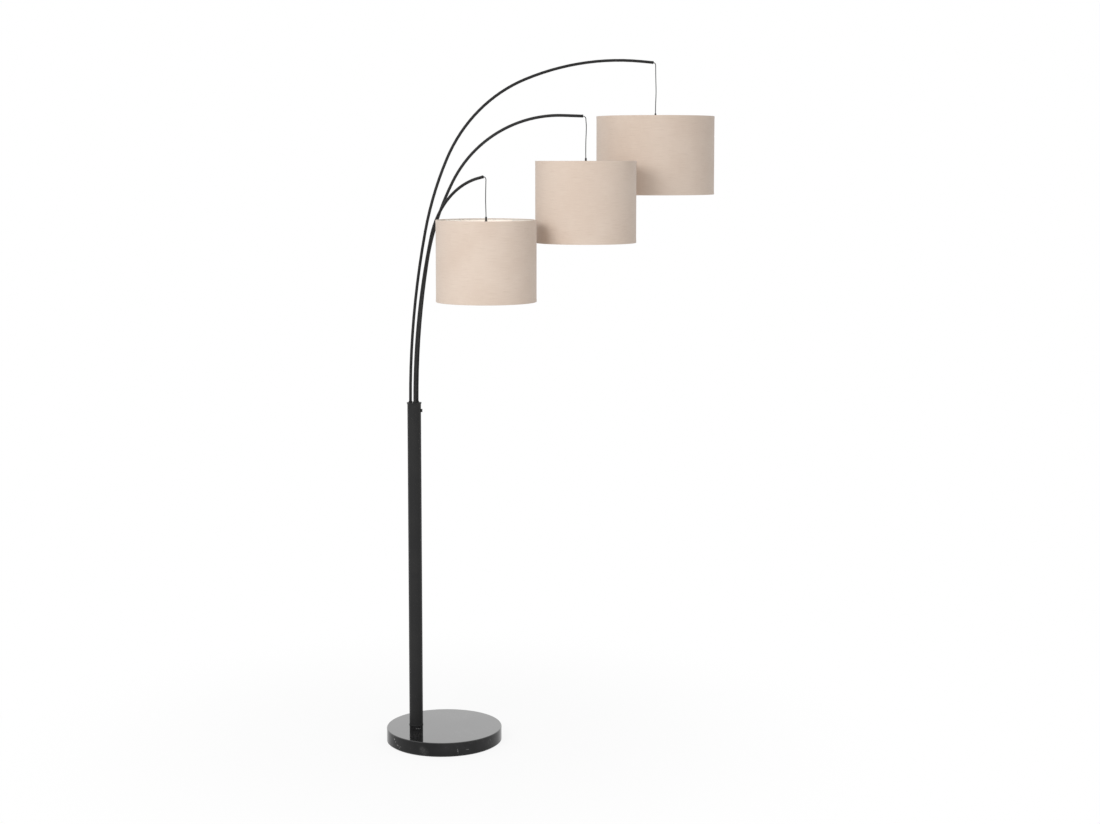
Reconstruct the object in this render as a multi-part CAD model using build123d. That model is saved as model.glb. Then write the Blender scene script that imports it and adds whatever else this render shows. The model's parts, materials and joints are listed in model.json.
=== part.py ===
from build123d import *
import os
from math import cos, hypot, pi, radians, sin, tan

os.makedirs("parts", exist_ok=True)

# A tree floor lamp: three thin arched arms stand in one post on a marble disc,
# and a fabric drum shade hangs from each arm on its own cord.
# Frame: millimetres, +Z up, the origin on the floor under the centre of the marble disc.
# An arm is drawn in its own upright plane as (reach from its socket, height above the floor).

# ---- base ----
felt_thickness = 2.0
felt_margin = 5.0                 # the felt stops short of the marble's edge
base_diameter = 340.0
marble_thickness = 40.0
base_arris = 1.6                  # small bevel on the marble's edges
post_offset_x = -84.0             # the post stands off the disc's centre, away from the shades
post_offset_y = 14.0
bolt_diameter = 12.0
bolt_clearance = 0.5
bolt_head_across = 19.0
bolt_head_height = 7.5
washer_diameter = 32.0
washer_thickness = 2.5
pocket_clearance = 1.0            # round the washer, in the marble's underside
pocket_depth = 14.0

# ---- post ----
post_diameter = 40.0
post_wall = 1.4
post_length = 957.0
fit_clearance = 0.05              # radial, for a shaft in its bore
foot_plug_height = 14.0
foot_ring_width = 0.8
foot_ring_height = 2.4
foot_ring_bevel = 0.5
grommet_height = 30.0             # of the lead's entry above the marble
grommet_bore = 6.2
grommet_neck = 9.0
grommet_flange = 13.0
grommet_flange_thickness = 2.0
grommet_lip = 11.0
grommet_lip_thickness = 1.6

# ---- head: the cap with its spigot, and the screw that locks it ----
cap_diameter = 43.5
cap_height = 8.0
cap_taper_height = 6.0
cap_edge_radius = 0.6
spigot_length = 44.0
socket_circle_radius = 11.4
screw_diameter = 5.0
screw_head_diameter = 9.5
screw_head_height = 4.0
screw_head_rounding = 1.0
screw_drop = 16.0                 # below the post's top edge
screw_slot_width = 1.2
screw_slot_depth = 1.5
screw_tip_clearance = 0.3
groove_width = 8.0
groove_depth = 1.6
block_diameter = 30.0
block_height = 16.0
block_hole = 6.0

# ---- arms ----
arm_diameter = 8.5
arm_wall = 1.0
arm_rise = 2.0                    # straight above the cap before the first bend
arm_end_step = 2.0                # the tube stops this far above the spigot's foot
collar_diameter = 10.8
collar_height = 4.0
collar_bevel = 0.8
bushing_lip_diameter = 9.4
bushing_lip_thickness = 2.0
bushing_plug_length = 10.0
bushing_bore = 3.4
bushing_mouth = 5.2
bushing_edge = 0.5
# for each arm: where its socket is, which way it points, its bends (radius, turn) from the
# bottom up, the straight run at its tip, and how far its shade's rim hangs below the tip
socket_angle = (163.5, 43.5, -76.5)
arm_angle = (18.66, -5.58, -39.7)
arm_bends = (
    ((2600.0, 11.0), (985.0, 13.0), (447.0, 44.0), (827.0, 26.0)),
    ((2600.0, 9.0), (795.0, 18.0), (346.0, 65.0)),
    ((1760.0, 16.0), (240.0, 62.0)),
)
arm_tail = (39.6, 57.3, 18.4)
pendant_drop = (161.0, 128.0, 120.0)

# ---- cords: (out from the arm's mouth, up) in the arm's plane ----
cord_diameter = 2.5
cord_joint_gap = 0.3
cord_arc_share = 0.45             # of the shorter run beside a corner, taken by its arc
cord_exit_route = (
    ((-2.6, 0.2), (2.0, -0.1), (5.7, -2.5), (7.8, -6.4), (7.8, -11.0)),
    ((-2.6, 0.1), (2.0, -0.1), (5.7, -2.4), (7.8, -6.3), (7.8, -11.0)),
    ((-2.5, -0.53), (2.0, 0.43), (5.9, -0.2), (9.1, -2.7), (10.9, -6.3), (10.9, -10.5)),
)
cord_hang_route = (
    ((8.3, -46.0), (9.9, -88.0), (8.2, -124.0)),
    ((9.6, -30.0), (8.3, -58.0), (7.4, -90.0)),
    ((9.8, -38.0), (9.3, -68.0), (10.4, -93.0)),
)

# ---- pendants, measured from the shade's top rim ----
shade_diameter = (356.0, 291.0, 283.0)
shade_height = (235.0, 235.0, 230.0)
fabric_thickness = 1.0
fabric_edge = 0.8                 # rounding of the rolled edges
lining_thickness = 0.4
lining_gap = 0.05
wire_diameter = 3.0
spoke_diameter = 2.8
wire_seat = 0.1                   # between a ring and the fabric rolled over it
weld_depth = 0.3                  # of a spoke in the plate it is welded to
spoke_angles = (30.0, 150.0, 270.0)
spoke_bend_radius = 6.0
spoke_bend_share = 0.64           # of the ring's radius, where a spoke turns down
hub_diameter = 60.0
hub_thickness = 1.5
hub_clearance = 0.3
grip_above_rim = 8.5
grip_top_diameter = 5.4
grip_rim_diameter = 6.0           # level with the shade's rim
grip_bottom_diameter = 9.8
grip_neck_length = 8.0
grip_bore = 3.2
grip_mouth = 4.6
cord_in_grip = 2.0
holder_top_drop = 10.0
holder_top_diameter = 20.0
holder_diameter = 39.4
holder_dome_height = 12.0
holder_shoulder_height = 8.0
holder_flange_diameter = 46.0
holder_flange_thickness = 3.0
holder_skirt_length = 39.0
socket_bore = 28.0
socket_depth = 28.0
ring_nut_diameter = 52.0
ring_nut_height = 8.0
ring_nut_ribs = 12
ring_nut_rib_radius = 1.5
bulb_cap_diameter = 26.4
bulb_cap_length = 28.0
bulb_contact_diameter = 10.0
bulb_contact_height = 2.0
bulb_shoulder_height = 3.0
bulb_diameter = 60.0
bulb_length = 85.0                # of the glass below its cap
bulb_neck_angle = 35.0            # above the globe's middle, where the neck starts
glass_thickness = 1.0

# ---- values that follow from the ones above ----
marble_top = felt_thickness + marble_thickness
post_top = marble_top + post_length
cap_top = post_top + cap_height
spigot_foot = post_top - spigot_length
post_radius = post_diameter / 2
post_inner_radius = post_radius - post_wall
spigot_radius = post_inner_radius - fit_clearance
arm_radius = arm_diameter / 2
arm_inner_radius = arm_radius - arm_wall
cord_radius = cord_diameter / 2
wire_radius = wire_diameter / 2
post_spot = Pos(post_offset_x, post_offset_y, 0)


# ---- shapes used by several pieces ----
def turned(*corners):
    """A solid turned about Z from its outline's (radius, height) corners."""
    return revolve(make_face(Polyline(*[(r, 0, z) for r, z in corners], close=True)), Axis.Z)


def disc(radius, bottom, top):
    """A solid cylinder about Z between two heights."""
    return Pos(0, 0, bottom) * Cylinder(radius, top - bottom, align=(Align.CENTER, Align.CENTER, Align.MIN))


def ring(outer, inner, bottom, top):
    """A flat ring about Z between two heights."""
    return turned((inner, bottom), (outer, bottom), (outer, top), (inner, top))


def swept_round(path, radius, bore_radius=0.0):
    """A round bar or tube along a smooth path."""
    section = Circle(radius)
    if bore_radius:
        section = section - Circle(bore_radius)
    return sweep(Plane(path @ 0, z_dir=path % 0) * section, path=path)


def corner_radii(points):
    """As large an arc at each corner of a route as its two runs allow."""
    radii = []
    for before, here, after in zip(points, points[1:], points[2:]):
        first = Vector(*here) - Vector(*before)
        second = Vector(*after) - Vector(*here)
        half_turn = radians(first.get_angle(second)) / 2
        radii.append(cord_arc_share * min(first.length, second.length) / tan(half_turn))
    return radii


# ---- base ----
def base_felt():
    pad = disc(base_diameter / 2 - felt_margin, 0, felt_thickness)
    return pad - post_spot * disc(washer_diameter / 2 + pocket_clearance, 0, felt_thickness)


def marble_base():
    slab = disc(base_diameter / 2, felt_thickness, marble_top)
    slab = chamfer(slab.edges().filter_by(GeomType.CIRCLE), base_arris)
    pocket_top = felt_thickness + pocket_depth
    pocket = disc(washer_diameter / 2 + pocket_clearance, felt_thickness, pocket_top)
    bolt_hole = disc(bolt_diameter / 2 + bolt_clearance, pocket_top, marble_top)
    return slab - post_spot * pocket - post_spot * bolt_hole


def base_washer():
    top = felt_thickness + pocket_depth
    return post_spot * ring(
        washer_diameter / 2, bolt_diameter / 2 + bolt_clearance, top - washer_thickness, top
    )


def base_bolt():
    """Hexagon bolt from below, through the marble into the post's foot."""
    head_top = felt_thickness + pocket_depth - washer_thickness
    head = Pos(0, 0, head_top - bolt_head_height) * extrude(
        RegularPolygon(bolt_head_across / 2, 6, major_radius=False), bolt_head_height
    )
    shank = disc(bolt_diameter / 2, head_top, marble_top + foot_plug_height)
    return post_spot * (head + shank)


def post_foot_plug():
    """Threaded plug fixed in the post's lower end."""
    return post_spot * ring(
        post_inner_radius, bolt_diameter / 2, marble_top, marble_top + foot_plug_height
    )


def foot_ring():
    """Thin trim ring round the post's foot."""
    inner = post_radius + fit_clearance
    outer = inner + foot_ring_width
    top = marble_top + foot_ring_height
    return post_spot * turned(
        (inner, marble_top),
        (outer, marble_top),
        (outer, top - foot_ring_bevel),
        (outer - foot_ring_bevel, top),
        (inner, top),
    )


# ---- post ----
def across_post(angle, height):
    """A frame on the post's axis whose Z points outwards at an angle."""
    outwards = (cos(radians(angle)), sin(radians(angle)), 0)
    return Plane((post_offset_x, post_offset_y, height), x_dir=(0, 0, -1), z_dir=outwards)


screw_frame = across_post(0, post_top - screw_drop)
grommet_frame = across_post(90, marble_top + grommet_height)


def post_tube():
    tube = post_spot * ring(post_radius, post_inner_radius, marble_top, post_top)
    screw_hole = screw_frame * disc(screw_diameter / 2 + fit_clearance, 0, post_diameter)
    lead_hole = grommet_frame * disc(grommet_neck / 2 + fit_clearance, 0, post_diameter)
    return tube - screw_hole - lead_hole


def cable_grommet():
    """Rubber bush in the back of the post, its flanges curved to the tube's wall."""
    outside = post_spot * disc(post_radius, marble_top, post_top)
    inside = post_spot * disc(post_inner_radius, marble_top, post_top)
    flange_face = post_radius + grommet_flange_thickness
    lip_face = post_inner_radius - grommet_lip_thickness
    flange = grommet_frame * disc(grommet_flange / 2, post_inner_radius, flange_face) - outside
    neck = grommet_frame * disc(grommet_neck / 2, lip_face, flange_face)
    lip = grommet_frame * disc(grommet_lip / 2, lip_face, post_radius) & inside
    return flange + neck + lip - grommet_frame * disc(grommet_bore / 2, 0, post_diameter)


# ---- head ----
def socket_point(arm):
    """The (x, y) of an arm's socket."""
    angle = radians(socket_angle[arm])
    x = post_offset_x + socket_circle_radius * cos(angle)
    y = post_offset_y + socket_circle_radius * sin(angle)
    return x, y


def top_cap():
    """Flared cap on a long spigot, bored for the arms and grooved for the lock screw."""
    groove_middle = post_top - screw_drop
    outline = (
        (0, spigot_foot),
        (spigot_radius, spigot_foot),
        (spigot_radius, groove_middle - groove_width / 2),
        (spigot_radius - groove_depth, groove_middle - groove_width / 2),
        (spigot_radius - groove_depth, groove_middle + groove_width / 2),
        (spigot_radius, groove_middle + groove_width / 2),
        (spigot_radius, post_top),
        (post_radius, post_top),
        (post_radius, cap_top - cap_taper_height),
        (cap_diameter / 2, cap_top - cap_edge_radius),
        (cap_diameter / 2 - cap_edge_radius, cap_top),
        (0, cap_top),
    )
    cap = post_spot * turned(*outline)
    for arm in range(len(arm_bends)):
        cap -= Pos(*socket_point(arm), 0) * disc(arm_radius + fit_clearance, spigot_foot, cap_top)
    return cap


def terminal_block():
    """Round connector block under the spigot, where the arms' leads join."""
    block = ring(block_diameter / 2, block_hole / 2, spigot_foot - block_height, spigot_foot)
    return post_spot * block


def lock_screw():
    """Slotted screw through the post's wall, its tip in the spigot's groove."""
    seat = post_radius + fit_clearance
    tip = spigot_radius - groove_depth + screw_tip_clearance
    face = seat + screw_head_height
    head = fillet(disc(screw_head_diameter / 2, seat, face).edges().group_by(Axis.Z)[-1], screw_head_rounding)
    slot = Pos(0, 0, face - screw_slot_depth / 2) * Box(
        screw_slot_width, screw_head_diameter, screw_slot_depth
    )
    return screw_frame * (head - slot + disc(screw_diameter / 2, tip, seat))


# ---- arms ----
def arm_plane(arm):
    """The arm's upright plane: X is its reach from the socket and Y is height."""
    angle = radians(arm_angle[arm])
    return Plane(
        (*socket_point(arm), 0), x_dir=(cos(angle), sin(angle), 0), z_dir=(sin(angle), -cos(angle), 0)
    )


def arm_line(arm, foot, tail):
    """An arm's centre line, flat: a straight foot, the bends and a straight tail."""
    line = Line((0, foot), (0, cap_top + arm_rise))
    for radius, turn in arm_bends[arm]:
        line = line + JernArc(line @ 1, line % 1, radius, -turn)
    end = line @ 1
    return line + Line(end, end + (line % 1) * tail)


def arm_mouth(arm):
    """Where the cord leaves the arm's tip, in the arm's plane, and the way it points there."""
    line = arm_line(arm, spigot_foot, arm_tail[arm])
    return line @ 1, line % 1


def arm_tube(arm):
    line = arm_line(arm, spigot_foot + arm_end_step, arm_tail[arm] - bushing_lip_thickness)
    return swept_round(arm_plane(arm) * line, arm_radius, arm_inner_radius)


def arm_collar(arm):
    """Small ring at the arm's foot, which bears on the cap."""
    inner = arm_radius + fit_clearance
    outer = collar_diameter / 2
    top = cap_top + collar_height
    return Pos(*socket_point(arm), 0) * turned(
        (inner, cap_top),
        (outer, cap_top),
        (outer, top - collar_bevel),
        (outer - collar_bevel, top),
        (inner, top),
    )


def end_bushing(arm):
    """Flanged insulating bush with a flared mouth, plugged into the arm's tip."""
    bush = turned(
        (bushing_bore / 2, -bushing_plug_length - bushing_lip_thickness),
        (arm_inner_radius, -bushing_plug_length - bushing_lip_thickness),
        (arm_inner_radius, -bushing_lip_thickness),
        (bushing_lip_diameter / 2, -bushing_lip_thickness),
        (bushing_lip_diameter / 2, -bushing_edge),
        (bushing_lip_diameter / 2 - bushing_edge, 0),
        (bushing_mouth / 2, 0),
        (bushing_bore / 2, -bushing_lip_thickness),
    )
    mouth, heading = arm_mouth(arm)
    return arm_plane(arm) * Plane(mouth, x_dir=(0, 0, 1), z_dir=heading) * bush


def inner_lead(arm):
    """The lead inside an arm, from the connector block to the start of the bend outside."""
    start_inside = hypot(*cord_exit_route[arm][0]) + cord_joint_gap
    line = arm_line(arm, spigot_foot + cord_joint_gap, arm_tail[arm] - start_inside)
    return swept_round(arm_plane(arm) * line, cord_radius)


# ---- cords ----
def cord_points(arm, route):
    """A cord's route in the arm's plane."""
    mouth = arm_mouth(arm)[0]
    return [(mouth.X + out, mouth.Y + up) for out, up in route]


def cord_tube(arm, points):
    """A cord's tube, with its smallest radius and its volume against its length printed."""
    radii = corner_radii(points)
    path = arm_plane(arm) * FilletPolyline(*points, radius=radii)
    tube = swept_round(path, cord_radius)
    print(
        f"cord {arm + 1}: length {path.length:.1f}, radii {[round(r, 1) for r in radii]},",
        f"volume over section times length {tube.volume / (pi * cord_radius**2 * path.length):.4f}",
    )
    return tube


def cord_bend(arm):
    """The cord where it leaves the arm's mouth and turns down."""
    return cord_tube(arm, cord_points(arm, cord_exit_route[arm]))


def swing_point(arm):
    """The end of the bend, in the arm's plane, about which the cord swings."""
    return cord_points(arm, cord_exit_route[arm][-1:])[0]


def rim_centre(arm):
    """The middle of the shade's top rim, in the arm's plane."""
    return swing_point(arm)[0], arm_mouth(arm)[0].Y - pendant_drop[arm]


def pendant_cord(arm):
    """The hanging run of the cord, from the swing point into the grip."""
    reach, height = swing_point(arm)
    start = (reach, height - cord_joint_gap)
    rim_reach, rim_height = rim_centre(arm)
    end = (rim_reach, rim_height + grip_above_rim - cord_in_grip)
    return cord_tube(arm, [start, *cord_points(arm, cord_hang_route[arm]), end])


# ---- pendants, built about Z with the top rim at height 0 ----
def cord_grip():
    """Tapered cord grip with a flared mouth, its neck screwed into the holder."""
    neck_foot = -holder_top_drop - grip_neck_length
    return turned(
        (grip_bore / 2, neck_foot),
        (grip_bottom_diameter / 2, neck_foot),
        (grip_bottom_diameter / 2, -holder_top_drop),
        (grip_rim_diameter / 2, 0),
        (grip_top_diameter / 2, grip_above_rim),
        (grip_mouth / 2, grip_above_rim),
        (grip_bore / 2, grip_above_rim - cord_in_grip),
    )


flange_top = -holder_top_drop - holder_dome_height - holder_shoulder_height
flange_foot = flange_top - holder_flange_thickness
holder_foot = flange_foot - holder_skirt_length
socket_ceiling = holder_foot + socket_depth


def lamp_holder():
    """Screw-in lamp holder: domed cap, flange, and a skirt that takes the ring nut."""
    radius = holder_diameter / 2
    dome_foot = -holder_top_drop - holder_dome_height
    neck_radius = grip_bottom_diameter / 2 + fit_clearance
    neck_foot = -holder_top_drop - grip_neck_length
    top_radius = holder_top_diameter / 2
    side = Polyline(
        (radius, 0, dome_foot),
        (radius, 0, flange_top),
        (holder_flange_diameter / 2, 0, flange_top),
        (holder_flange_diameter / 2, 0, flange_foot),
        (radius, 0, flange_foot),
        (radius, 0, holder_foot),
        (socket_bore / 2, 0, holder_foot),
        (socket_bore / 2, 0, socket_ceiling),
        (grip_bore / 2, 0, socket_ceiling),
        (grip_bore / 2, 0, neck_foot),
        (neck_radius, 0, neck_foot),
        (neck_radius, 0, -holder_top_drop),
        (top_radius, 0, -holder_top_drop),
    )
    dome = TangentArc((radius, 0, dome_foot), (top_radius, 0, -holder_top_drop), tangent=(0, 0, 1))
    return revolve(make_face(side + dome), Axis.Z)


def ring_nut():
    """Ribbed ring nut that holds the shade's hub against the holder's flange."""
    top = flange_foot - hub_thickness
    nut = ring(
        ring_nut_diameter / 2, holder_diameter / 2 + fit_clearance, top - ring_nut_height, top
    )
    scallop = disc(ring_nut_rib_radius, top - ring_nut_height, top)
    for place in PolarLocations(ring_nut_diameter / 2 + ring_nut_rib_radius / 2, ring_nut_ribs):
        nut -= place * scallop
    return nut


def lining_outer_radius(arm):
    return shade_diameter[arm] / 2 - fabric_thickness - lining_gap


def wire_ring_radius(arm):
    """Of the centre line of a shade's wire rings."""
    return lining_outer_radius(arm) - lining_thickness - lining_gap - wire_radius


def edge_depth():
    """From a shade's edge to the centre of its wire ring."""
    return fabric_thickness + wire_seat + wire_radius


def shade_spider(arm):
    """Wire frame of one piece: the top ring, three spokes that dip, and the hub plate."""
    ring_radius = wire_ring_radius(arm)
    hub_radius = hub_diameter / 2
    hub_top = flange_foot
    frame = Pos(0, 0, -edge_depth()) * Torus(ring_radius, wire_radius)
    frame += ring(hub_radius, holder_diameter / 2 + hub_clearance, hub_top - hub_thickness, hub_top)
    spoke_foot = hub_top + spoke_diameter / 2 - weld_depth
    inner = holder_flange_diameter / 2 + spoke_diameter
    path = FilletPolyline(
        (inner, 0, spoke_foot),
        (hub_radius + spoke_bend_radius, 0, spoke_foot),
        (ring_radius * spoke_bend_share, 0, -edge_depth()),
        (ring_radius, 0, -edge_depth()),
        radius=spoke_bend_radius,
    )
    spoke = swept_round(path, spoke_diameter / 2)
    return frame + [Rot(0, 0, angle) * spoke for angle in spoke_angles]


def bottom_ring(arm):
    """Wire ring in the lower rolled edge."""
    return Pos(0, 0, edge_depth() - shade_height[arm]) * Torus(wire_ring_radius(arm), wire_radius)


def shade_drum(arm):
    """Fabric drum, rolled in over the wire ring at both edges."""
    outer = shade_diameter[arm] / 2
    inner = outer - fabric_thickness
    lip = wire_ring_radius(arm) - wire_radius - wire_seat
    low = -shade_height[arm]
    drum = turned(
        (outer, low),
        (outer, 0),
        (lip, 0),
        (lip, -fabric_thickness),
        (inner, -fabric_thickness),
        (inner, low + fabric_thickness),
        (lip, low + fabric_thickness),
        (lip, low),
    )
    widest = drum.edges().filter_by(GeomType.CIRCLE).sort_by(SortBy.RADIUS)[-2:]
    return fillet(widest, fabric_edge)


def shade_lining(arm):
    """Thin lining stuck inside the drum, between its rolled edges."""
    outer = lining_outer_radius(arm)
    top = -fabric_thickness - lining_gap
    return ring(outer, outer - lining_thickness, -shade_height[arm] - top, top)


def bulb_cap():
    """Screw cap of the lamp, its contact against the socket's ceiling."""
    contact_foot = socket_ceiling - bulb_contact_height
    return turned(
        (0, socket_ceiling),
        (bulb_contact_diameter / 2, socket_ceiling),
        (bulb_contact_diameter / 2, contact_foot),
        (bulb_cap_diameter / 2, contact_foot - bulb_shoulder_height),
        (bulb_cap_diameter / 2, socket_ceiling - bulb_cap_length),
        (0, socket_ceiling - bulb_cap_length),
    )


def bulb_glass():
    """Thin glass globe on a tapering neck, open where the cap closes it."""
    neck = bulb_cap_diameter / 2
    top = socket_ceiling - bulb_cap_length

    def outline(inset):
        radius = bulb_diameter / 2 - inset
        centre = top - bulb_length + bulb_diameter / 2
        joint_angle = radians(bulb_neck_angle)
        joint = (radius * cos(joint_angle), 0, centre + radius * sin(joint_angle))
        globe = ThreePointArc((0, 0, centre - radius), (radius, 0, centre), joint)
        return globe, Line(joint, (neck - inset, 0, top))

    outside, outer_neck = outline(0)
    inside, inner_neck = outline(glass_thickness)
    rim = Line((neck, 0, top), (neck - glass_thickness, 0, top))
    axis = Line(outside @ 0, inside @ 0)
    return revolve(make_face(outside + outer_neck + rim + inner_neck + inside + axis), Axis.Z)


def hung(arm, piece):
    """A pendant's piece, moved from its own axis to where it hangs."""
    reach, height = rim_centre(arm)
    spot = arm_plane(arm).from_local_coords((reach, height, 0))
    return Pos(spot) * piece


# ---- the whole lamp ----
pieces = {
    "base_felt": base_felt(),
    "marble_base": marble_base(),
    "base_washer": base_washer(),
    "base_bolt": base_bolt(),
    "post_foot_plug": post_foot_plug(),
    "foot_ring": foot_ring(),
    "post_tube": post_tube(),
    "cable_grommet": cable_grommet(),
    "top_cap": top_cap(),
    "terminal_block": terminal_block(),
    "lock_screw": lock_screw(),
}
for arm in range(len(arm_bends)):
    number = arm + 1
    pieces[f"arm_tube_{number}"] = arm_tube(arm)
    pieces[f"arm_collar_{number}"] = arm_collar(arm)
    pieces[f"end_bushing_{number}"] = end_bushing(arm)
    pieces[f"inner_lead_{number}"] = inner_lead(arm)
    pieces[f"cord_bend_{number}"] = cord_bend(arm)
    pieces[f"pendant_cord_{number}"] = pendant_cord(arm)
    pieces[f"cord_grip_{number}"] = hung(arm, cord_grip())
    pieces[f"lamp_holder_{number}"] = hung(arm, lamp_holder())
    pieces[f"ring_nut_{number}"] = hung(arm, ring_nut())
    pieces[f"shade_spider_{number}"] = hung(arm, shade_spider(arm))
    pieces[f"bottom_ring_{number}"] = hung(arm, bottom_ring(arm))
    pieces[f"shade_drum_{number}"] = hung(arm, shade_drum(arm))
    pieces[f"shade_lining_{number}"] = hung(arm, shade_lining(arm))
    pieces[f"bulb_cap_{number}"] = hung(arm, bulb_cap())
    pieces[f"bulb_glass_{number}"] = hung(arm, bulb_glass())
    for place, spot in (("swing", swing_point(arm)), ("rim", rim_centre(arm))):
        print(f"arm {number} {place}:", arm_plane(arm).from_local_coords((*spot, 0)))

for name, piece in pieces.items():
    export_step(piece, f"parts/{name}.step")
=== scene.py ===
import json
from math import atan2, cos, pi, radians, sin

import bmesh
import bpy
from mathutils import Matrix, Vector


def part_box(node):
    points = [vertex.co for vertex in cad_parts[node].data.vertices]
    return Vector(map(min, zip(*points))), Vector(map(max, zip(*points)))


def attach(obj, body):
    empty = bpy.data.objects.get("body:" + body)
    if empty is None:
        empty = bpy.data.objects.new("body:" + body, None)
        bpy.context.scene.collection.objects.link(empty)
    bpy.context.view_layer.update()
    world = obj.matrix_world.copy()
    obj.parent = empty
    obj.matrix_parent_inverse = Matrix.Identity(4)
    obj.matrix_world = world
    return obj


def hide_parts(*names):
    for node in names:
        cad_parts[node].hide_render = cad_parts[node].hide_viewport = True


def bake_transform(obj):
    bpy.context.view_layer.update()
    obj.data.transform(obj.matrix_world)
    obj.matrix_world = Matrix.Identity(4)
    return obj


# A tree floor lamp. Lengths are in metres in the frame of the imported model: +Z is up, and
# the origin is on the floor under the centre of the marble disc.
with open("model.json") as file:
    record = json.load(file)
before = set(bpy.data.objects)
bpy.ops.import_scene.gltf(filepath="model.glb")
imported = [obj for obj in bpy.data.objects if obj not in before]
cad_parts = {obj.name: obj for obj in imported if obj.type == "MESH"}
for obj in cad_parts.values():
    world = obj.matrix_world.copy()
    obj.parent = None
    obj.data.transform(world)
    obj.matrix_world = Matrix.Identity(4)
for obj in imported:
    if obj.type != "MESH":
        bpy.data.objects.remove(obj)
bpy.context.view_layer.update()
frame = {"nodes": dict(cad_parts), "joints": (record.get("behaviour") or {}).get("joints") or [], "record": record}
nodes = frame["nodes"]
joints = {joint["name"]: joint for joint in frame["joints"]}
arms = (1, 2, 3)

MM = 0.001
ALL_ROUND = 2 * pi
WHITE = (1, 1, 1, 1)
smooth_angle = 35.0                   # degrees: edges that turn less are shaded smooth
merge_distance = 0.001 * MM

# ---- camera: in front of the lamp, at the height of the second shade's top ----
camera_place = (0.254, -5.471, 1.715)
camera_dip = 5.315                    # degrees below level
camera_turn = -0.624                  # degrees, negative to the right
camera_lens = 61.74
camera_sensor = 36.0
camera_shift = -0.07                  # share of the picture's width
camera_reach = 200.0

# ---- light: a large key from the left, a weak fill and an even white surround ----
world_light = 0.69
key_place = (-2.0, -3.85, 3.1)
key_aim = (0.25, 0.0, 1.45)
key_size = 2.1
key_power = 101.0
fill_place = (1.3, -2.1, 1.3)
fill_aim = (0.1, 0.0, 1.0)
fill_size = 1.2
fill_power = 4.5
floor_half = 60.0
floor_colour = (0.82, 0.82, 0.82, 1)
floor_whiteness = (0.88, 1.0)         # plain white's share of the floor, near the base and far off
floor_near = 0.25
floor_far = 1.4

# ---- cords: (out from the swing point, up) in mm, in the arm's own upright plane ----
cord_diameter = 2.5 * MM
cord_bend_routes = {
    1: ((-10.4, 11.2), (-5.8, 10.9), (-2.1, 8.5), (0.0, 4.6), (0.0, 0.0)),
    2: ((-10.4, 11.1), (-5.8, 10.9), (-2.1, 8.6), (0.0, 4.7), (0.0, 0.0)),
    3: ((-13.4, 9.97), (-8.9, 10.93), (-5.0, 10.3), (-1.8, 7.8), (0.0, 4.2), (0.0, 0.0)),
}
cord_hang_routes = {
    1: ((0.5, -35.0), (2.1, -77.0), (0.4, -113.0)),
    2: ((1.8, -19.0), (0.5, -47.0), (-0.4, -79.0)),
    3: ((-1.1, -27.5), (-1.6, -57.5), (-0.5, -82.5)),
}
cord_sides = 16
cord_line_steps = 12                  # between two control points
cord_end_angle = 50.0                 # degrees; its cut ends are sharper than this

# ---- shades ----
fabric_thickness = 1.0 * MM
edge_roll = 5.6 * MM                  # the fabric is rolled in this far over its wire ring
edge_rounding = 0.8 * MM
edge_segments = 4
hem_height = 7.5 * MM
hem_rise = 0.35 * MM
seam_width = 14.0 * MM
seam_rise = 0.5 * MM
seam_sink = 0.1 * MM                  # into the cloth under it
seam_bearing = radians(115)           # on the side away from the front
seam_steps = 8
shade_steps = 192
cloth_map = "wrap"                    # the cloth's own measure: metres round it and up it

# ---- thread on the lamp holder's skirt, below the ring nut ----
holder_skirt_radius = 19.7 * MM
holder_thread_rise = 0.6 * MM
holder_thread_sink = 0.3 * MM         # into the skirt under it
holder_thread_root = 1.9 * MM         # width where it leaves the skirt
holder_thread_crest = 0.5 * MM
holder_thread_pitch = 3.0 * MM
holder_thread_turns = 8
holder_thread_foot = 1.6 * MM         # above the skirt's lower end
holder_thread_steps = 48              # in each turn

# ---- marble: pale marks that show in the photo (two ends, half width, strength) ----
marble_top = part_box("marble_base")[1][2]
marble_wax_edge = marble_top - 2.0 * MM     # the top face is waxed, the side isn't
marble_marks = (
    ((-0.1450, -0.0885, 0.0367), (-0.1380, -0.1000, 0.0250), 0.0017, 0.5),
    ((-0.1380, -0.1000, 0.0230), (-0.1254, -0.1140, 0.0106), 0.0017, 0.55),
    ((-0.1290, -0.1107, 0.0160), (-0.1220, -0.1184, 0.0150), 0.0014, 0.4),
    ((0.0455, -0.1638, 0.0220), (0.0465, -0.1636, 0.0110), 0.0012, 0.5),
    ((0.0700, -0.1549, 0.0185), (0.0770, -0.1516, 0.0180), 0.0011, 0.3),
    ((-0.0560, -0.1605, 0.0190), (-0.0500, -0.1625, 0.0140), 0.0150, 0.04),
    ((-0.0805, -0.0300, marble_top), (-0.0695, -0.0308, marble_top), 0.0018, 0.8),
)
mark_core = 0.3                       # share of a mark's half width that has its full strength

# ---- linen and lining ----
yarn_pitch = 0.72 * MM
slub_length = (26.0, 18.0)            # slubs in each metre along a weft yarn and along a warp yarn
slub_width = 900.0                    # slubs in each metre across the yarns
painted_lining_glow = 0.16                    # painted glow: emission that stands for daylight coming through the cloth
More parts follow.
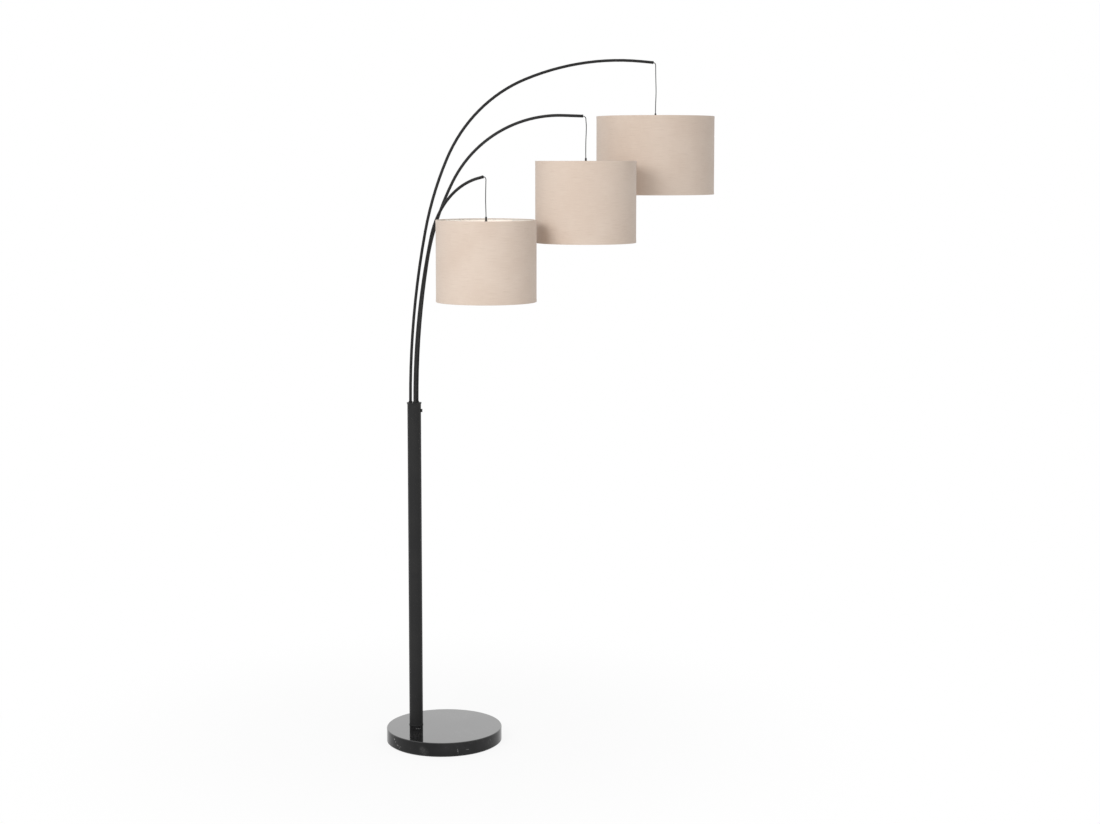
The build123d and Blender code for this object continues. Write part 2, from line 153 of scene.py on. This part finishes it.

# ---- colours: a pair is the two ends of a finish's slow change ----
marble_ground = ((0.005, 0.005, 0.0055, 1), (0.018, 0.0175, 0.018, 1))
marble_vein = (0.2, 0.195, 0.19, 1)
marble_hairline = (0.2, 0.2, 0.2, 1)
marble_fleck = (0.25, 0.25, 0.25, 1)
marble_mark = (0.75, 0.74, 0.72, 1)
coat_black = ((0.022, 0.022, 0.0224, 1), (0.026, 0.0258, 0.0256, 1))
coat_dust = (0.08, 0.08, 0.08, 1)
zinc = ((0.62, 0.63, 0.64, 1), (0.5, 0.48, 0.43, 1))
rubber = ((0.011, 0.011, 0.011, 1), (0.024, 0.024, 0.023, 1))
moulded_black = ((0.012, 0.012, 0.012, 1), (0.02, 0.02, 0.02, 1))
moulded_white = ((0.8, 0.79, 0.75, 1), (0.72, 0.7, 0.63, 1))
dipped_white = ((0.78, 0.76, 0.72, 1), (0.68, 0.66, 0.61, 1))
dipped_nick = (0.25, 0.24, 0.23, 1)
linen_ground = ((0.67, 0.55, 0.462, 1), (0.705, 0.59, 0.502, 1))
linen_slub = (0.76, 0.66, 0.56, 1)
linen_dark_yarn = (0.52, 0.41, 0.32, 1)
# painted shade for the hollows between the yarns
painted_gap_shade = (0.4, 0.3, 0.225, 1)
lining_cream = ((0.89, 0.855, 0.8, 1), (0.86, 0.815, 0.75, 1))
# painted glow: the ends of the lining's emitted colour, for daylight through the cloth
painted_daylight_glow = ((1.0, 0.82, 0.7, 1), (0.96, 0.76, 0.63, 1))
opal = ((0.86, 0.86, 0.83, 1), (0.81, 0.81, 0.78, 1))
aluminium = ((0.66, 0.66, 0.66, 1), (0.55, 0.55, 0.55, 1))
felt_pile = ((0.012, 0.012, 0.013, 1), (0.05, 0.05, 0.052, 1))


# ================================ helpers for shapes ================================
def keep(bm, name, material, body=None, smooth_under=smooth_angle):
    """Turns a finished bmesh into a piece, which rides on a body if one is named."""
    mesh = bpy.data.meshes.new(name)
    bm.to_mesh(mesh)
    bm.free()
    mesh.shade_smooth()
    mesh.set_sharp_from_angle(angle=radians(smooth_under))
    mesh.materials.append(material)
    piece = bpy.data.objects.new(name, mesh)
    bpy.context.scene.collection.objects.link(piece)
    if body:
        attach(piece, body)
    return piece


def round_box(node):
    """The axis, radius, foot and top of an upright round node of the model."""
    low, high = (Vector(corner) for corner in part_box(node))
    centre = Vector(((low.x + high.x) / 2, (low.y + high.y) / 2, 0))
    return centre, (high.x - low.x) / 2, low.z, high.z


def spun(bm, centre, angle, steps, rise=0.0):
    """Spins all of a bmesh about an upright axis; one whole turn closes, and a rise climbs."""
    bmesh.ops.spin(
        bm, geom=bm.verts[:] + bm.edges[:] + bm.faces[:], cent=centre, axis=(0, 0, 1),
        dvec=(0, 0, rise / steps), angle=angle, steps=steps, use_merge=angle == ALL_ROUND,
        use_normal_flip=False, use_duplicate=False,
    )


def tidy(bm):
    """Merges doubles and points every face outwards."""
    bmesh.ops.remove_doubles(bm, verts=bm.verts, dist=merge_distance)
    bmesh.ops.recalc_face_normals(bm, faces=bm.faces)


# ================================ helpers for materials ================================
class Wire:
    """An output socket that can be used in sums; each operation adds its node."""

    def __init__(self, tree, socket=None):
        self.tree = tree
        self.socket = socket

    def node(self, kind, settings=None, sockets=None, output=0):
        """Adds a node: its settings come first, then the values or links of its sockets."""
        made = self.tree.nodes.new(kind)
        for name, value in (settings or {}).items():
            setattr(made, name, value)
        for name, value in (sockets or {}).items():
            if isinstance(value, Wire):
                self.tree.links.new(value.socket, made.inputs[name])
            else:
                made.inputs[name].default_value = value
        return Wire(self.tree, made.outputs[output] if len(made.outputs) else None)

    def math(self, operation, *values):
        return self.node("ShaderNodeMath", {"operation": operation}, dict(enumerate(values)))

    def applied(self, operation, *values):
        return self.math(operation, self, *values)

    def __add__(self, other):
        return self.math("ADD", self, other)

    def __sub__(self, other):
        return self.math("SUBTRACT", self, other)

    def __rsub__(self, other):
        return self.math("SUBTRACT", other, self)

    def __mul__(self, other):
        return self.math("MULTIPLY", self, other)

    def __truediv__(self, other):
        return self.math("DIVIDE", self, other)

    def __abs__(self):
        return self.math("ABSOLUTE", self)

    __radd__ = __add__
    __rmul__ = __mul__

    def ranged(self, low, high, to_low=0.0, to_high=1.0):
        """This value's range mapped smoothly on to another, and held at its ends."""
        ends = {"From Min": low, "From Max": high, "To Min": to_low, "To Max": to_high}
        return self.node(
            "ShaderNodeMapRange", {"interpolation_type": "SMOOTHSTEP"}, {"Value": self, **ends}
        )

    def mixed(self, first, second):
        """One colour passing into another by this share."""
        return self.node(
            "ShaderNodeMix", {"data_type": "RGBA"}, {0: self, 6: first, 7: second}, output=2
        )

    def vector(self, operation, *values, output=0):
        """This vector worked on with others; output 1 is a number measured on it."""
        sockets = dict(enumerate((self, *values)))
        return self.node("ShaderNodeVectorMath", {"operation": operation}, sockets, output)

    def scaled(self, factors):
        """This vector stretched along each axis."""
        return self.vector("MULTIPLY", factors)

    def length(self):
        """How long this vector is."""
        return self.vector("LENGTH", output=1)

    def off_line(self, start, end):
        """How far this place is from the line between two points, measured a little askew."""
        along = Vector(end) - Vector(start)
        off = self.vector("SUBTRACT", start)
        share = (off.vector("DOT_PRODUCT", along, output=1) / along.length_squared).ranged(0.0, 1.0)
        reached = self.node(
            "ShaderNodeVectorMath", {"operation": "SCALE"}, {0: along, "Scale": share}
        )
        return off.vector("SUBTRACT", reached).length()

    def axis(self, number):
        """One number of this vector."""
        return self.node("ShaderNodeSeparateXYZ", None, {0: self}, output=number)

    def noise(self, scale, detail=2.0, roughness=0.5, distortion=0.0):
        """Noise at this place, with so many features in each metre."""
        return self.node(
            "ShaderNodeTexNoise", {"noise_dimensions": "3D"},
            {"Vector": self, "Scale": scale, "Detail": detail, "Roughness": roughness,
             "Distortion": distortion},
        )

    def bump(self, distance, strength=1.0):
        """The normal of a surface with this height."""
        return self.node(
            "ShaderNodeBump", None, {"Height": self, "Distance": distance, "Strength": strength}
        )


def finish(name, constants, varying):
    """A material with constant sockets, and with the sockets that varying(wire) works out."""
    material = bpy.data.materials.new(name)
    material.use_nodes = True
    tree = material.node_tree
    surface = tree.nodes["Principled BSDF"]
    for socket, value in constants.items():
        surface.inputs[socket].default_value = value
    for socket, wire in varying(Wire(tree)).items():
        tree.links.new(wire.socket, surface.inputs[socket])
    return material


def place_in_metres(wire):
    """The object's own coordinates."""
    return wire.node("ShaderNodeTexCoord", output=3)


# ================================ materials ================================
def ridges(noise):
    """1 along the lines where a noise passes its middle, falling off to each side."""
    return 1 - abs(noise - 0.5) * 2


def black_marble(wire):
    """Polished black marble: cloudy dark ground, thin broken veins and a few pale flecks."""
    place = place_in_metres(wire)
    clouds = place.noise(9.0, detail=5.0, roughness=0.6)
    bent = place.noise(5.2, detail=7.0, roughness=0.62, distortion=1.1)
    broken = place.noise(14.0, detail=3.0).ranged(0.52, 0.66)
    vein = ridges(bent).ranged(0.985, 1.0) * broken
    thin = place.noise(17.0, detail=6.0, roughness=0.65, distortion=0.8)
    hairline = ridges(thin).ranged(0.988, 1.0) * place.noise(7.0).ranged(0.5, 0.62)
    cells = place.node(
        "ShaderNodeTexVoronoi", {"feature": "F1"},
        {"Vector": place, "Scale": 42.0, "Randomness": 1.0},
    )
    fleck = (1 - cells.ranged(0.03, 0.09)) * place.noise(23.0, detail=1.0).ranged(0.58, 0.66)
    tone = clouds.ranged(0.35, 0.75).mixed(*marble_ground)
    tone = (vein * 0.3).mixed(tone, marble_vein)
    tone = (hairline * 0.35).mixed(tone, marble_hairline)
    tone = (fleck * 0.6).mixed(tone, marble_fleck)
    ragged = place.noise(260.0, detail=3.0).ranged(0.3, 0.6)
    for start, end, half_width, strength in marble_marks:
        mark = 1 - place.off_line(start, end).ranged(half_width * mark_core, half_width)
        tone = (mark * ragged * strength).mixed(tone, marble_mark)
    return {
        "Base Color": tone,
        "Roughness": clouds.ranged(0.3, 0.8, 0.035, 0.075) + vein * 0.06,
        "Coat Weight": place.axis(2).ranged(marble_wax_edge, marble_wax_edge + MM),
        "Normal": (vein * -1.0 + place.noise(160.0) * 0.15).bump(0.04 * MM),
    }


def black_coat(wire):
    """Satin black powder coat: a fine orange-peel skin, a little duller in patches, with dust."""
    place = place_in_metres(wire)
    peel = place.noise(900.0)
    patches = place.noise(14.0, detail=3.0)
    dust = place.noise(2400.0, detail=1.0).ranged(0.72, 0.8)
    tone = patches.ranged(0.3, 0.7).mixed(*coat_black)
    return {
        "Base Color": (dust * 0.35).mixed(tone, coat_dust),
        "Roughness": patches.ranged(0.25, 0.75, 0.36, 0.44) + peel * 0.04,
        "Normal": peel.bump(0.06 * MM, 0.5),
    }


def zinc_steel(wire):
    """Zinc-plated steel with fine rolling lines and a faint warm stain."""
    place = place_in_metres(wire)
    lines = place.scaled((1.0, 1.0, 14.0)).noise(380.0, detail=3.0)
    stain = place.noise(60.0, detail=3.0)
    return {
        "Base Color": stain.ranged(0.35, 0.75).mixed(*zinc),
        "Roughness": lines.ranged(0.2, 0.8, 0.26, 0.42),
        "Normal": lines.bump(0.03 * MM, 0.6),
    }


def black_rubber(wire):
    """Matt black cord sheath with faint drawing lines and scuffs."""
    place = place_in_metres(wire)
    scuffs = place.noise(420.0, detail=3.0)
    drawn = place.scaled((3.0, 3.0, 1.0)).noise(900.0)
    return {
        "Base Color": scuffs.ranged(0.4, 0.8).mixed(*rubber),
        "Roughness": scuffs.ranged(0.2, 0.8, 0.5, 0.64),
        "Normal": drawn.bump(0.04 * MM, 0.6),
    }


def black_moulding(wire):
    """Fine-grained black thermoplastic, polished a little by handling."""
    place = place_in_metres(wire)
    handling = place.noise(55.0, detail=3.0)
    return {
        "Base Color": handling.ranged(0.3, 0.8).mixed(*moulded_black),
        "Roughness": handling.ranged(0.3, 0.7, 0.36, 0.5),
        "Normal": place.noise(2600.0).bump(0.03 * MM, 0.5),
    }


def white_moulding(wire):
    """Plain white connector plastic, slightly yellowed."""
    place = place_in_metres(wire)
    handling = place.noise(70.0, detail=3.0)
    return {
        "Base Color": handling.ranged(0.3, 0.8).mixed(*moulded_white),
        "Roughness": handling.ranged(0.3, 0.7, 0.35, 0.5),
        "Normal": place.noise(1500.0).bump(0.03 * MM, 0.4),
    }


def white_wire(wire):
    """White dipped coating on steel wire, with small runs and a few dark nicks."""
    place = place_in_metres(wire)
    runs = place.noise(210.0, detail=3.0)
    nicks = place.noise(520.0).ranged(0.74, 0.8)
    return {
        "Base Color": (nicks * 0.6).mixed(runs.ranged(0.3, 0.8).mixed(*dipped_white), dipped_nick),
        "Roughness": runs.ranged(0.3, 0.7, 0.3, 0.46),
        "Normal": runs.bump(0.12 * MM, 0.5),
    }


def linen(wire):
    """Beige linen: plain weave, slubby yarns both ways, soft tone changes, painted shade between yarns."""
    around = wire.node("ShaderNodeUVMap", {"uv_map": cloth_map})
    along_weft, along_warp = slub_length
    slub_weft = around.scaled((along_weft, slub_width, 1.0)).noise(1.0, roughness=0.55)
    slub_warp = around.scaled((slub_width, along_warp, 1.0)).noise(1.0, roughness=0.55)
    wander = around.scaled((60.0, 60.0, 1.0)).noise(1.0)
    warp_count = around.axis(0) / yarn_pitch + wander * 0.5
    weft_count = around.axis(1) / yarn_pitch + wander * 0.4
    warp = abs((warp_count * pi).applied("SINE"))
    weft = abs((weft_count * pi).applied("SINE"))
    over = (warp_count.applied("FLOOR") + weft_count.applied("FLOOR")).applied("PINGPONG", 1.0)
    weave = (warp * (0.55 + over * 0.45) + weft * (1.0 - over * 0.45)).ranged(0.2, 1.7)
    thick = slub_weft.ranged(0.56, 0.7)
    dark_yarn = slub_weft.ranged(0.3, 0.44, 1.0, 0.0)
    upright_yarn = slub_warp.ranged(0.58, 0.7)
    cloud = around.scaled((9.0, 9.0, 1.0)).noise(1.0, detail=3.0)
    tone = cloud.ranged(0.3, 0.7).mixed(*linen_ground)
    tone = (thick * 0.5 + upright_yarn * 0.22).mixed(tone, linen_slub)
    tone = (dark_yarn * 0.38).mixed(tone, linen_dark_yarn)
    return {
        # painted shade: darker where the yarns dip, in the gaps of the weave
        "Base Color": ((1 - weave) * 0.28).mixed(tone, painted_gap_shade),
        "Roughness": weave.ranged(0.0, 1.0, 0.95, 0.82),
        "Normal": (weave + thick * 0.6 + upright_yarn * 0.35).bump(0.16 * MM, 0.55),
    }


def cream_lining(wire):
    """Cream styrene sheet, nearly smooth; the weave behind shows in its bumps and in a painted glow for daylight.
    """
    place = place_in_metres(wire)
    ripple = place.noise(22.0, detail=3.0)
    weave_print_and_glow = place.scaled((1.0, 1.0, 2.4)).noise(420.0)
    return {
        "Base Color": ripple.ranged(0.3, 0.75).mixed(*lining_cream),
        # painted glow: emission patterned by the weave stands in for daylight through the cloth
        "Emission Color": weave_print_and_glow.ranged(0.2, 0.8).mixed(*painted_daylight_glow),
        "Roughness": weave_print_and_glow.ranged(0.2, 0.8, 0.42, 0.55),
        "Normal": (weave_print_and_glow * 0.3 + ripple).bump(0.2 * MM, 0.4),
    }


def opal_glass(wire):
    """Opal bulb glass, not quite evenly milky."""
    milk = place_in_metres(wire).noise(45.0)
    return {
        "Base Color": milk.ranged(0.3, 0.7).mixed(*opal),
        "Roughness": milk.ranged(0.3, 0.7, 0.16, 0.24),
        "Normal": milk.bump(0.2 * MM, 0.2),
    }


def aluminium_cap(wire):
    """Rolled aluminium screw cap."""
    rolling = place_in_metres(wire).scaled((1.0, 1.0, 20.0)).noise(120.0)
    return {
        "Base Color": rolling.ranged(0.3, 0.7).mixed(*aluminium),
        "Roughness": rolling.ranged(0.2, 0.8, 0.22, 0.4),
        "Normal": rolling.bump(0.05 * MM, 0.5),
    }


def pressed_felt(wire):
    """Dark pressed felt with loose fibres that lie both ways."""
    place = place_in_metres(wire)
    loose = {"detail": 4.0, "roughness": 0.7, "distortion": 0.6}
    fibres = place.scaled((1.0, 3.0, 1.0)).noise(700.0, **loose)
    crossing = place.scaled((3.0, 1.0, 1.0)).noise(650.0, **loose)
    pile = fibres * 0.5 + crossing * 0.5
    return {
        "Base Color": pile.ranged(0.35, 0.7).mixed(*felt_pile),
        "Roughness": pile.ranged(0.2, 0.8, 0.9, 1.0),
        "Normal": pile.bump(0.4 * MM, 0.7),
    }


# for each material slot of the model: the material's name, its constants and its changes
slots = {
    "marble": (
        "black marble", {"IOR": 1.33, "Coat IOR": 1.62, "Coat Roughness": 0.03}, black_marble
    ),
    "felt": ("pressed felt", {"Sheen Weight": 0.3}, pressed_felt),
    "black_metal": ("satin black coat", {"IOR": 1.2}, black_coat),
    "bare_steel": ("zinc-plated steel", {"Metallic": 1.0}, zinc_steel),
    "black_rubber": ("black cord sheath", {"IOR": 1.2}, black_rubber),
    "black_plastic": ("black moulding", {"IOR": 1.42}, black_moulding),
    "white_plastic": ("white moulding", {"IOR": 1.5}, white_moulding),
    "white_wire": ("white dipped wire", {"IOR": 1.5}, white_wire),
    "linen": ("beige linen", {"Sheen Weight": 0.25, "Sheen Roughness": 0.5, "IOR": 1.35}, linen),
    # the lining's emission is painted light for daylight through the cloth
    "lining": ("cream lining", {"IOR": 1.5, "Emission Strength": painted_lining_glow}, cream_lining),
    "bulb_metal": ("aluminium cap", {"Metallic": 1.0}, aluminium_cap),
    "opal_glass": ("opal glass", {"Coat Weight": 0.6, "Coat Roughness": 0.05}, opal_glass),
}
finishes = {slot: finish(*recipe) for slot, recipe in slots.items()}


# ================================ camera ================================
camera = bpy.data.objects.new("camera", bpy.data.cameras.new("camera"))
camera.location = camera_place
camera.rotation_euler = (radians(90 - camera_dip), 0, radians(camera_turn))
camera.data.sensor_width = camera_sensor
camera.data.lens = camera_lens
camera.data.shift_y = camera_shift
camera.data.clip_end = camera_reach
bpy.context.scene.collection.objects.link(camera)
bpy.context.scene.camera = camera


# ================================ cords ================================
def cord_points(arm):
    """The route of an arm's cord, from inside the arm's mouth to inside the grip."""
    swing = Vector(joints[f"cord_swing_{arm}"]["pos_m"])
    outwards = Vector(joints[f"shade_tilt_{arm}"]["axis"])
    low_end = Vector(joints[f"shade_tilt_{arm}"]["pos_m"])
    route = cord_bend_routes[arm] + cord_hang_routes[arm]
    return [swing + outwards * out * MM + Vector((0, 0, up * MM)) for out, up in route] + [low_end]


def smooth_line(name, points):
    """The NURBS line that has these points as its control points."""
    curve = bpy.data.curves.new(name, "CURVE")
    curve.dimensions = "3D"
    curve.resolution_u = cord_line_steps
    spline = curve.splines.new("NURBS")
    spline.points.add(len(points) - 1)
    for point, place in zip(spline.points, points):
        point.co = (*place, 1)
    spline.order_u = 3
    spline.use_endpoint_u = True
    return bpy.data.objects.new(name, curve)


def free_cord(arm):
    """A limp cord as a round tube along its line: bend, hanging run and end in the grip."""
    line = smooth_line(f"cord_line_{arm}", cord_points(arm))
    path = [vert.co.copy() for vert in bpy.data.meshes.new_from_object(line).vertices]
    line.data.bevel_depth = cord_diameter / 2
    line.data.bevel_resolution = cord_sides // 4 - 1
    line.data.use_fill_caps = True
    bm = bmesh.new()
    bm.from_mesh(bpy.data.meshes.new_from_object(line))
    bpy.data.objects.remove(line)
    tidy(bm)
    piece = keep(bm, f"cord_{arm}", finishes["black_rubber"], smooth_under=cord_end_angle)
    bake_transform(piece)
    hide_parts(f"cord_bend_{arm}", f"pendant_cord_{arm}")


# ================================ shades ================================
def wrap(bm, centre, radius, cut):
    """Lays the cloth's measure on a piece of the drum, starting from the bearing of the cut."""
    layer = bm.loops.layers.uv.new(cloth_map)
    for face in bm.faces:
        middle = face.calc_center_median() - centre
        bearing = (atan2(middle.y, middle.x) - cut) % ALL_ROUND
        for loop in face.loops:
            off = loop.vert.co - centre
            turn = (atan2(off.y, off.x) - cut - bearing + pi) % ALL_ROUND - pi
            inwards = radius - off.to_2d().length
            loop[layer].uv = ((bearing + turn) * radius, off.z + inwards)


def drum_cloth(arm):
    """The drum's fabric, with a turned-in roll and a slightly proud hem at each edge."""
    centre, radius, foot, top = round_box(f"shade_drum_{arm}")
    lip = radius - edge_roll
    inner = radius - fabric_thickness
    proud = radius + hem_rise
    outline = (
        (proud, foot), (proud, foot + hem_height), (radius, foot + hem_height + hem_rise),
        (radius, top - hem_height - hem_rise), (proud, top - hem_height), (proud, top),
        (lip, top), (lip, top - fabric_thickness), (inner, top - fabric_thickness),
        (inner, foot + fabric_thickness), (lip, foot + fabric_thickness), (lip, foot),
    )
    bm = bmesh.new()
    corners = [bm.verts.new((centre.x + out, centre.y, up)) for out, up in outline]
    for pair in zip(corners, corners[1:] + corners[:1]):
        bm.edges.new(pair)
    rims = [corners[outline.index(place)] for place in ((proud, foot), (proud, top))]
    bmesh.ops.bevel(
        bm, geom=rims, offset=edge_rounding, offset_type="OFFSET", segments=edge_segments,
        profile=0.5, affect="VERTICES", material=-1, clamp_overlap=True,
    )
    spun(bm, centre, ALL_ROUND, shade_steps)
    tidy(bm)
    wrap(bm, centre, radius, seam_bearing)
    return keep(bm, f"shade_cloth_{arm}", finishes["linen"], f"shade_{arm}")


def lap_seam(arm):
    """The upright strip where the cloth's ends lap, between the two hems."""
    centre, radius, foot, top = round_box(f"shade_drum_{arm}")
    width = seam_width / radius
    first = seam_bearing - width / 2
    outwards = Vector((cos(first), sin(first), 0))
    sunk, proud = radius - seam_sink, radius + seam_rise
    low, high = foot + hem_height, top - hem_height
    bm = bmesh.new()
    bm.faces.new([
        bm.verts.new(centre + outwards * out + Vector((0, 0, up)))
        for out, up in ((sunk, low), (proud, low), (proud, high), (sunk, high))
    ])
    spun(bm, centre, width, seam_steps)
    tidy(bm)
    wrap(bm, centre, radius, seam_bearing + pi)
    return keep(bm, f"shade_seam_{arm}", finishes["linen"], f"shade_{arm}")


def shade(arm):
    """One shade's fabric: a stretched sheet and its seam."""
    cloth = drum_cloth(arm)
    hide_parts(f"shade_drum_{arm}")
    seam = lap_seam(arm)


# ================================ lamp holders ================================
def holder_thread(arm):
    """The coarse moulded thread on a lamp holder's skirt, which the ring nut runs on."""
    centre, _, foot, _ = round_box(f"lamp_holder_{arm}")
    middle = foot + holder_thread_foot + holder_thread_pitch / 2
    sunk = holder_skirt_radius - holder_thread_sink
    crest = holder_skirt_radius + holder_thread_rise
    ridge = (
        (sunk, -holder_thread_root / 2), (crest, -holder_thread_crest / 2),
        (crest, holder_thread_crest / 2), (sunk, holder_thread_root / 2),
    )
    bm = bmesh.new()
    bm.faces.new([bm.verts.new((centre.x + out, centre.y, middle + up)) for out, up in ridge])
    spun(
        bm, centre, ALL_ROUND * holder_thread_turns, holder_thread_steps * holder_thread_turns,
        rise=holder_thread_pitch * holder_thread_turns,
    )
    tidy(bm)
    piece = keep(bm, f"holder_thread_{arm}", finishes["black_plastic"], f"shade_{arm}")


# ================================ all the pieces ================================
for build in (free_cord, shade, holder_thread):
    for arm in arms:
        build(arm)

for part in frame["record"]["subparts"]:
    node = nodes[part["node"]]
    node.data.materials.clear()
    node.data.materials.append(finishes[part["material_slot"]])


# ================================ floor, light and background ================================
def seen_rays(owner):
    """A cleared tree's first wire, and 1 for rays from the eye, a mirror or glass, else 0."""
    owner.use_nodes = True
    owner.node_tree.nodes.clear()
    wire = Wire(owner.node_tree)
    rays = wire.node("ShaderNodeLightPath").socket.node.outputs
    camera_ray, glossy_ray, through_ray = (
        Wire(wire.tree, rays[f"Is {kind} Ray"]) for kind in ("Camera", "Glossy", "Transmission")
    )
    return wire, camera_ray.applied("MAXIMUM", glossy_ray.applied("MAXIMUM", through_ray))


def floor():
    """A pale matt floor that is plain white to the eye away from the base."""
    bm = bmesh.new()
    bmesh.ops.create_grid(bm, x_segments=1, y_segments=1, size=floor_half)
    material = bpy.data.materials.new("pale floor")
    wire, seen = seen_rays(material)
    distance = place_in_metres(wire).length()
    share = seen * distance.ranged(floor_near, floor_far, *floor_whiteness)
    matt = wire.node("ShaderNodeBsdfDiffuse", None, {"Color": floor_colour})
    white = wire.node("ShaderNodeEmission", None, {"Color": WHITE, "Strength": 1.0})
    mixed = wire.node("ShaderNodeMixShader", None, {0: share, 1: matt, 2: white})
    wire.node("ShaderNodeOutputMaterial", None, {"Surface": mixed})
    ground = keep(bm, "floor", material)


def surround():
    """A world that is plain white to the eye and lights the lamp evenly at its own level."""
    world = bpy.data.worlds.new("studio")
    bpy.context.scene.world = world
    wire, seen = seen_rays(world)
    room, white = (
        wire.node("ShaderNodeBackground", None, {"Color": WHITE, "Strength": strength})
        for strength in (world_light, 1.0)
    )
    mixed = wire.node("ShaderNodeMixShader", None, {0: seen, 1: room, 2: white})
    wire.node("ShaderNodeOutputWorld", None, {"Surface": mixed})


def area_light(name, place, target, size, power):
    """A square light that is pointed at a target."""
    lamp = bpy.data.objects.new(name, bpy.data.lights.new(name, "AREA"))
    lamp.data.size = size
    lamp.data.energy = power
    lamp.location = place
    lamp.rotation_euler = (Vector(target) - Vector(place)).to_track_quat("-Z", "Y").to_euler()
    bpy.context.scene.collection.objects.link(lamp)


floor()
surround()
area_light("key", key_place, key_aim, key_size, key_power)
area_light("fill", fill_place, fill_aim, fill_size, fill_power)
bpy.context.scene.view_settings.view_transform = "Standard"
